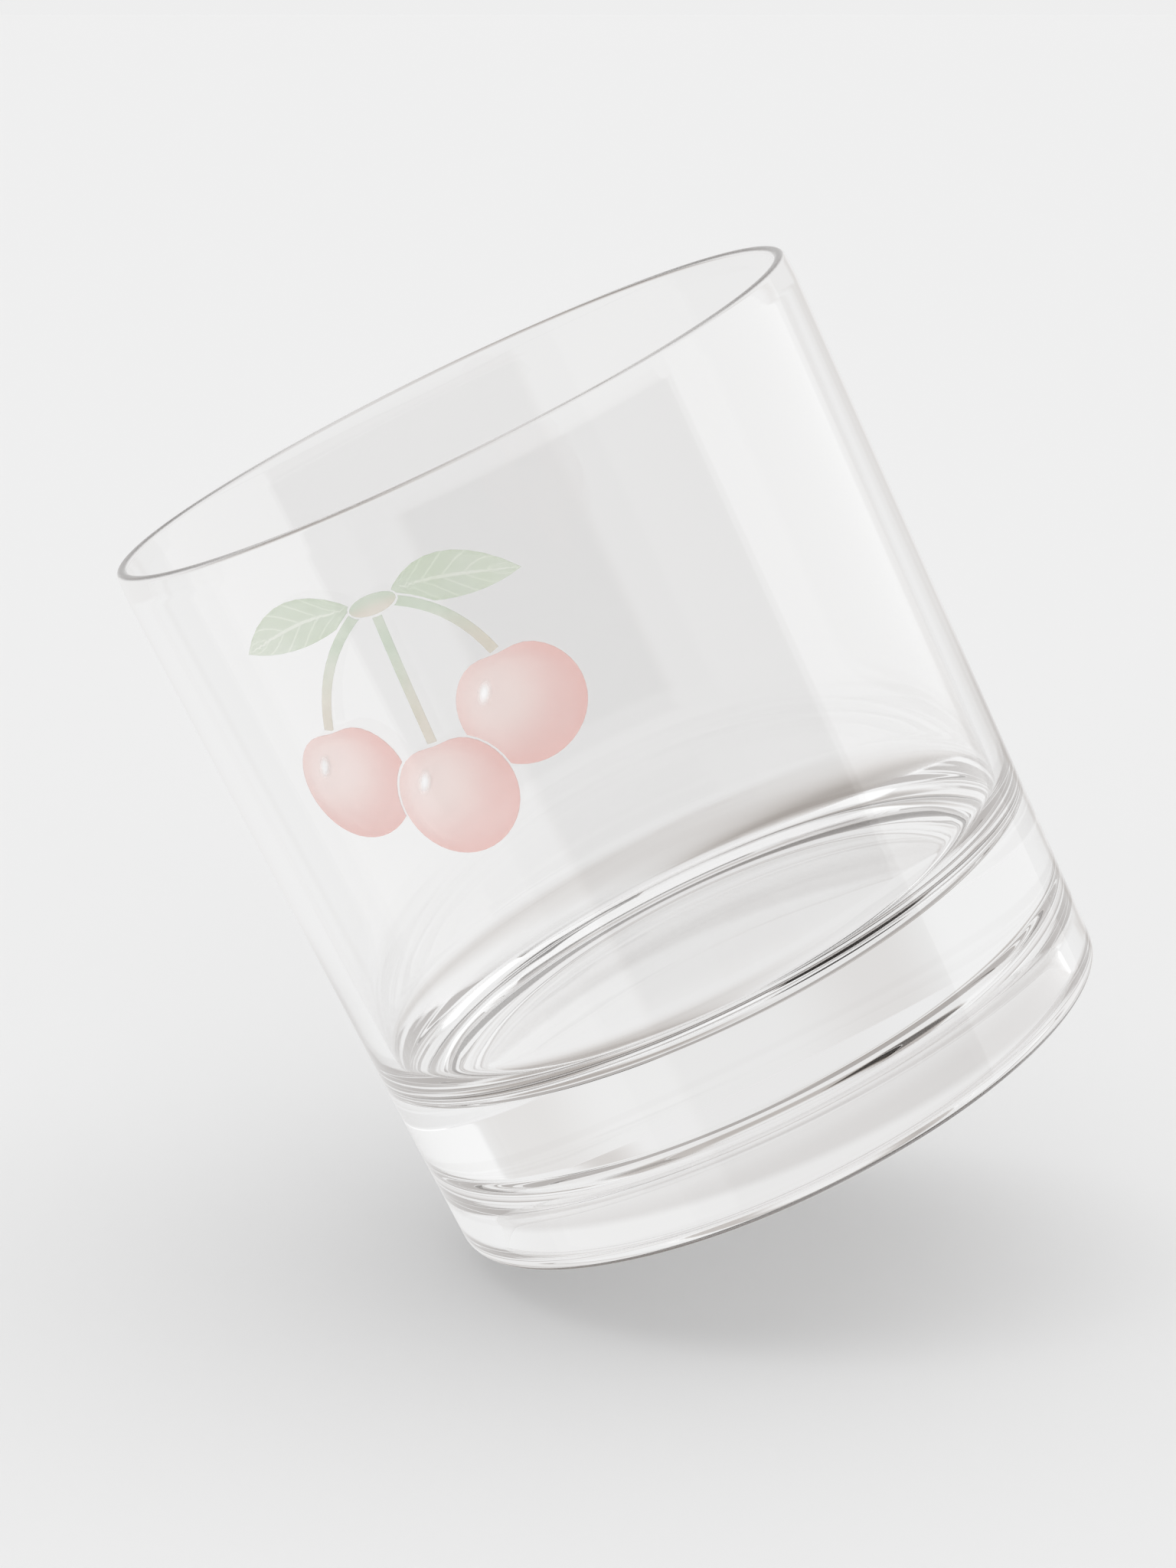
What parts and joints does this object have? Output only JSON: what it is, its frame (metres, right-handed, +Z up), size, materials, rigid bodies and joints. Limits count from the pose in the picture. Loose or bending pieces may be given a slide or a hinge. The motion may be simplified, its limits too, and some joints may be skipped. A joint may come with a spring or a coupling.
{
  "type": "whisky glass",
  "caption": "Clear straight-sided whisky tumbler with a thick base, a ring foot and a pale enamel fruit sprig on its wall.",
  "frame": {"origin": "middle of the ring foot's underside, on the glass's axis, where it stands on a table", "axes": "+Z up the glass's axis, out of the mouth; the enamel sprig faces -Y and a little to -X"},
  "size_m": [0.0844, 0.0845, 0.09],
  "materials": {
    "clear_glass": "clear, fire-polished, smooth all over",
    "coral_enamel": "thin pale coral enamel, fired on, satin",
    "pale_enamel": "thin near-white enamel, fired on, satin",
    "stem_enamel": "thin pale olive enamel, fired on, satin",
    "leaf_enamel": "thin pale green enamel, fired on, satin"
  },
  "bodies": {
    "root": {"glass_body": "clear_glass", "middle_fruit_enamel": "coral_enamel", "left_fruit_enamel": "coral_enamel", "right_fruit_enamel": "coral_enamel", "knot_enamel": "stem_enamel", "middle_stem_enamel": "stem_enamel", "left_stem_enamel": "stem_enamel", "right_stem_enamel": "stem_enamel", "left_leaf_enamel": "leaf_enamel", "right_leaf_enamel": "leaf_enamel", "left_fruit_light_enamel": "pale_enamel", "middle_fruit_light_enamel": "pale_enamel", "right_fruit_light_enamel": "pale_enamel"}
  },
  "joints": []
}
